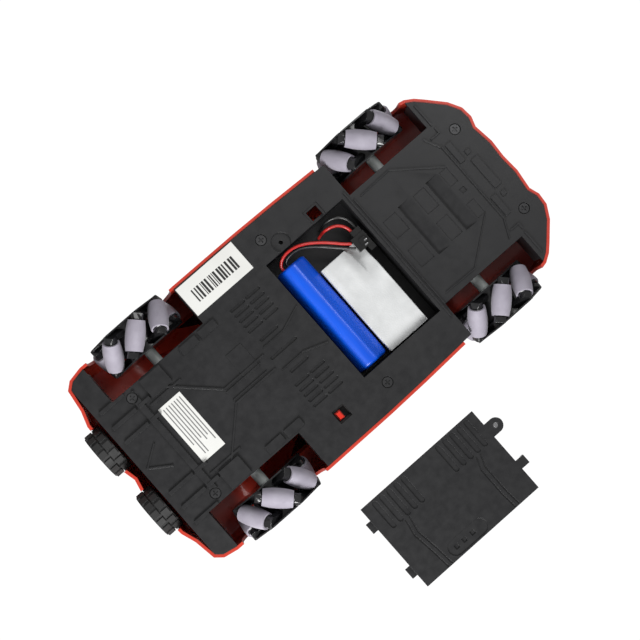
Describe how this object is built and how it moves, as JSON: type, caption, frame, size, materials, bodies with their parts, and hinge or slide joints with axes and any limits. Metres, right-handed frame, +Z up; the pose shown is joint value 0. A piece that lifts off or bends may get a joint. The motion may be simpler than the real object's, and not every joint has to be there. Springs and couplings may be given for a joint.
{
  "type": "mecanum wheel robot",
  "caption": "Remote-control car robot on mecanum wheels with free barrel rollers, open underside battery bay and a loose bay cover beside it.",
  "frame": {"origin": "on the ground, midway between the four wheels' contact points", "axes": "+X towards the front, +Y to the left, +Z up with the wheels down"},
  "size_m": [0.2586, 0.202, 0.0777],
  "materials": {
    "chassis_plastic": "fine moulded texture, satin",
    "cover_plastic": "fine moulded texture, satin",
    "shell_red": "semi-gloss moulded plastic",
    "window_dark": "gloss, tinted nearly black",
    "lamp_clear": "gloss, fluted",
    "tyre_black": "moulded tread",
    "screw_steel": "bright zinc",
    "gearbox_plastic": "moulded",
    "board_green": "solder mask",
    "switch_black": "moulded",
    "switch_red": "moulded",
    "battery_wrap": "heat-shrink film",
    "foam_white": "closed-cell foam",
    "plug_black": "moulded",
    "lead_red": "soft insulation",
    "lead_black": "soft insulation",
    "hub_black": "gloss moulded",
    "axle_grey": "moulded",
    "roller_grey": "soft matt tread",
    "label_white": "printed film"
  },
  "bodies": {
    "car": {"chassis": "chassis_plastic", "body_shell": "shell_red", "windows": "window_dark", "lamps": "lamp_clear", "spare_tyres": "tyre_black", "shell_screws": "screw_steel", "gear_motors": "gearbox_plastic", "control_board": "board_green", "switch_housing": "switch_black", "battery_pack": "battery_wrap", "battery_pad": "foam_white", "battery_plug": "plug_black", "battery_lead_red": "lead_red", "battery_lead_black": "lead_black", "board_lead_red": "lead_red", "board_lead_black": "lead_black", "labels": "label_white"},
    "cover_screw": {"cover_screw": "screw_steel"},
    "battery_cover": {"battery_cover": "cover_plastic"},
    "switch_slider": {"switch_slider": "switch_red"},
    "wheel_front_left": {"hub_front_left": "hub_black", "axle_front_left": "axle_grey", "roller_pins_front_left": "screw_steel"},
    "roller_front_left_1": {"roller_front_left_1": "roller_grey"},
    "roller_front_left_2": {"roller_front_left_2": "roller_grey"},
    "roller_front_left_3": {"roller_front_left_3": "roller_grey"},
    "roller_front_left_4": {"roller_front_left_4": "roller_grey"},
    "roller_front_left_5": {"roller_front_left_5": "roller_grey"},
    "roller_front_left_6": {"roller_front_left_6": "roller_grey"},
    "roller_front_left_7": {"roller_front_left_7": "roller_grey"},
    "wheel_front_right": {"hub_front_right": "hub_black", "axle_front_right": "axle_grey", "roller_pins_front_right": "screw_steel"},
    "roller_front_right_1": {"roller_front_right_1": "roller_grey"},
    "roller_front_right_2": {"roller_front_right_2": "roller_grey"},
    "roller_front_right_3": {"roller_front_right_3": "roller_grey"},
    "roller_front_right_4": {"roller_front_right_4": "roller_grey"},
    "roller_front_right_5": {"roller_front_right_5": "roller_grey"},
    "roller_front_right_6": {"roller_front_right_6": "roller_grey"},
    "roller_front_right_7": {"roller_front_right_7": "roller_grey"},
    "wheel_rear_left": {"hub_rear_left": "hub_black", "axle_rear_left": "axle_grey", "roller_pins_rear_left": "screw_steel"},
    "roller_rear_left_1": {"roller_rear_left_1": "roller_grey"},
    "roller_rear_left_2": {"roller_rear_left_2": "roller_grey"},
    "roller_rear_left_3": {"roller_rear_left_3": "roller_grey"},
    "roller_rear_left_4": {"roller_rear_left_4": "roller_grey"},
    "roller_rear_left_5": {"roller_rear_left_5": "roller_grey"},
    "roller_rear_left_6": {"roller_rear_left_6": "roller_grey"},
    "roller_rear_left_7": {"roller_rear_left_7": "roller_grey"},
    "wheel_rear_right": {"hub_rear_right": "hub_black", "axle_rear_right": "axle_grey", "roller_pins_rear_right": "screw_steel"},
    "roller_rear_right_1": {"roller_rear_right_1": "roller_grey"},
    "roller_rear_right_2": {"roller_rear_right_2": "roller_grey"},
    "roller_rear_right_3": {"roller_rear_right_3": "roller_grey"},
    "roller_rear_right_4": {"roller_rear_right_4": "roller_grey"},
    "roller_rear_right_5": {"roller_rear_right_5": "roller_grey"},
    "roller_rear_right_6": {"roller_rear_right_6": "roller_grey"},
    "roller_rear_right_7": {"roller_rear_right_7": "roller_grey"}
  },
  "joints": [
    {"name": "cover_slide", "type": "slide", "parent": "car", "child": "cover_screw", "axis": [-0.1392, -0.9903, 0], "range_m": [0, 0.14299]},
    {"name": "cover_turn", "type": "hinge", "parent": "cover_screw", "child": "battery_cover", "pos_m": [0.031, 0.0996, 0.001], "axis": [0, 0, -1], "range_deg": [0, 90]},
    {"name": "power_switch", "type": "slide", "parent": "car", "child": "switch_slider", "axis": [1, 0, 0], "range_m": [0, 0.0029]},
    {"name": "drive_front_left", "type": "hinge", "parent": "car", "child": "wheel_front_left", "pos_m": [0.076, 0.0545, 0.0245], "axis": [0, 1, 0], "continuous": true},
    {"name": "spin_roller_front_left_1", "type": "hinge", "parent": "wheel_front_left", "child": "roller_front_left_1", "pos_m": [0.076, 0.0545, 0.00525], "axis": [-0.7071, 0.7071, 0], "continuous": true},
    {"name": "spin_roller_front_left_2", "type": "hinge", "parent": "wheel_front_left", "child": "roller_front_left_2", "pos_m": [0.06095, 0.0545, 0.0125], "axis": [-0.4409, 0.7071, 0.5528], "continuous": true},
    {"name": "spin_roller_front_left_3", "type": "hinge", "parent": "wheel_front_left", "child": "roller_front_left_3", "pos_m": [0.05723, 0.0545, 0.02878], "axis": [0.1573, 0.7071, 0.6894], "continuous": true},
    {"name": "spin_roller_front_left_4", "type": "hinge", "parent": "wheel_front_left", "child": "roller_front_left_4", "pos_m": [0.06765, 0.0545, 0.04184], "axis": [0.6371, 0.7071, 0.3068], "continuous": true},
    {"name": "spin_roller_front_left_5", "type": "hinge", "parent": "wheel_front_left", "child": "roller_front_left_5", "pos_m": [0.08435, 0.0545, 0.04184], "axis": [0.6371, 0.7071, -0.3068], "continuous": true},
    {"name": "spin_roller_front_left_6", "type": "hinge", "parent": "wheel_front_left", "child": "roller_front_left_6", "pos_m": [0.09477, 0.0545, 0.02878], "axis": [0.1573, 0.7071, -0.6894], "continuous": true},
    {"name": "spin_roller_front_left_7", "type": "hinge", "parent": "wheel_front_left", "child": "roller_front_left_7", "pos_m": [0.09105, 0.0545, 0.0125], "axis": [-0.4409, 0.7071, -0.5528], "continuous": true},
    {"name": "drive_front_right", "type": "hinge", "parent": "car", "child": "wheel_front_right", "pos_m": [0.076, -0.0545, 0.0245], "axis": [0, 1, 0], "continuous": true},
    {"name": "spin_roller_front_right_1", "type": "hinge", "parent": "wheel_front_right", "child": "roller_front_right_1", "pos_m": [0.076, -0.0545, 0.00525], "axis": [-0.7071, -0.7071, 0], "continuous": true},
    {"name": "spin_roller_front_right_2", "type": "hinge", "parent": "wheel_front_right", "child": "roller_front_right_2", "pos_m": [0.09105, -0.0545, 0.0125], "axis": [-0.4409, -0.7071, -0.5528], "continuous": true},
    {"name": "spin_roller_front_right_3", "type": "hinge", "parent": "wheel_front_right", "child": "roller_front_right_3", "pos_m": [0.09477, -0.0545, 0.02878], "axis": [0.1573, -0.7071, -0.6894], "continuous": true},
    {"name": "spin_roller_front_right_4", "type": "hinge", "parent": "wheel_front_right", "child": "roller_front_right_4", "pos_m": [0.08435, -0.0545, 0.04184], "axis": [0.6371, -0.7071, -0.3068], "continuous": true},
    {"name": "spin_roller_front_right_5", "type": "hinge", "parent": "wheel_front_right", "child": "roller_front_right_5", "pos_m": [0.06765, -0.0545, 0.04184], "axis": [0.6371, -0.7071, 0.3068], "continuous": true},
    {"name": "spin_roller_front_right_6", "type": "hinge", "parent": "wheel_front_right", "child": "roller_front_right_6", "pos_m": [0.05723, -0.0545, 0.02878], "axis": [0.1573, -0.7071, 0.6894], "continuous": true},
    {"name": "spin_roller_front_right_7", "type": "hinge", "parent": "wheel_front_right", "child": "roller_front_right_7", "pos_m": [0.06095, -0.0545, 0.0125], "axis": [-0.4409, -0.7071, 0.5528], "continuous": true},
    {"name": "drive_rear_left", "type": "hinge", "parent": "car", "child": "wheel_rear_left", "pos_m": [-0.076, 0.0545, 0.0245], "axis": [0, 1, 0], "continuous": true},
    {"name": "spin_roller_rear_left_1", "type": "hinge", "parent": "wheel_rear_left", "child": "roller_rear_left_1", "pos_m": [-0.076, 0.0545, 0.00525], "axis": [0.7071, 0.7071, 0], "continuous": true},
    {"name": "spin_roller_rear_left_2", "type": "hinge", "parent": "wheel_rear_left", "child": "roller_rear_left_2", "pos_m": [-0.09105, 0.0545, 0.0125], "axis": [0.4409, 0.7071, -0.5528], "continuous": true},
    {"name": "spin_roller_rear_left_3", "type": "hinge", "parent": "wheel_rear_left", "child": "roller_rear_left_3", "pos_m": [-0.09477, 0.0545, 0.02878], "axis": [-0.1573, 0.7071, -0.6894], "continuous": true},
    {"name": "spin_roller_rear_left_4", "type": "hinge", "parent": "wheel_rear_left", "child": "roller_rear_left_4", "pos_m": [-0.08435, 0.0545, 0.04184], "axis": [-0.6371, 0.7071, -0.3068], "continuous": true},
    {"name": "spin_roller_rear_left_5", "type": "hinge", "parent": "wheel_rear_left", "child": "roller_rear_left_5", "pos_m": [-0.06765, 0.0545, 0.04184], "axis": [-0.6371, 0.7071, 0.3068], "continuous": true},
    {"name": "spin_roller_rear_left_6", "type": "hinge", "parent": "wheel_rear_left", "child": "roller_rear_left_6", "pos_m": [-0.05723, 0.0545, 0.02878], "axis": [-0.1573, 0.7071, 0.6894], "continuous": true},
    {"name": "spin_roller_rear_left_7", "type": "hinge", "parent": "wheel_rear_left", "child": "roller_rear_left_7", "pos_m": [-0.06095, 0.0545, 0.0125], "axis": [0.4409, 0.7071, 0.5528], "continuous": true},
    {"name": "drive_rear_right", "type": "hinge", "parent": "car", "child": "wheel_rear_right", "pos_m": [-0.076, -0.0545, 0.0245], "axis": [0, 1, 0], "continuous": true},
    {"name": "spin_roller_rear_right_1", "type": "hinge", "parent": "wheel_rear_right", "child": "roller_rear_right_1", "pos_m": [-0.076, -0.0545, 0.00525], "axis": [0.7071, -0.7071, 0], "continuous": true},
    {"name": "spin_roller_rear_right_2", "type": "hinge", "parent": "wheel_rear_right", "child": "roller_rear_right_2", "pos_m": [-0.06095, -0.0545, 0.0125], "axis": [0.4409, -0.7071, 0.5528], "continuous": true},
    {"name": "spin_roller_rear_right_3", "type": "hinge", "parent": "wheel_rear_right", "child": "roller_rear_right_3", "pos_m": [-0.05723, -0.0545, 0.02878], "axis": [-0.1573, -0.7071, 0.6894], "continuous": true},
    {"name": "spin_roller_rear_right_4", "type": "hinge", "parent": "wheel_rear_right", "child": "roller_rear_right_4", "pos_m": [-0.06765, -0.0545, 0.04184], "axis": [-0.6371, -0.7071, 0.3068], "continuous": true},
    {"name": "spin_roller_rear_right_5", "type": "hinge", "parent": "wheel_rear_right", "child": "roller_rear_right_5", "pos_m": [-0.08435, -0.0545, 0.04184], "axis": [-0.6371, -0.7071, -0.3068], "continuous": true},
    {"name": "spin_roller_rear_right_6", "type": "hinge", "parent": "wheel_rear_right", "child": "roller_rear_right_6", "pos_m": [-0.09477, -0.0545, 0.02878], "axis": [-0.1573, -0.7071, -0.6894], "continuous": true},
    {"name": "spin_roller_rear_right_7", "type": "hinge", "parent": "wheel_rear_right", "child": "roller_rear_right_7", "pos_m": [-0.09105, -0.0545, 0.0125], "axis": [0.4409, -0.7071, -0.5528], "continuous": true}
  ],
  "couplings": [
    {"joint": "cover_turn", "follows": "cover_slide", "rad_per_m": 10.985}
  ]
}
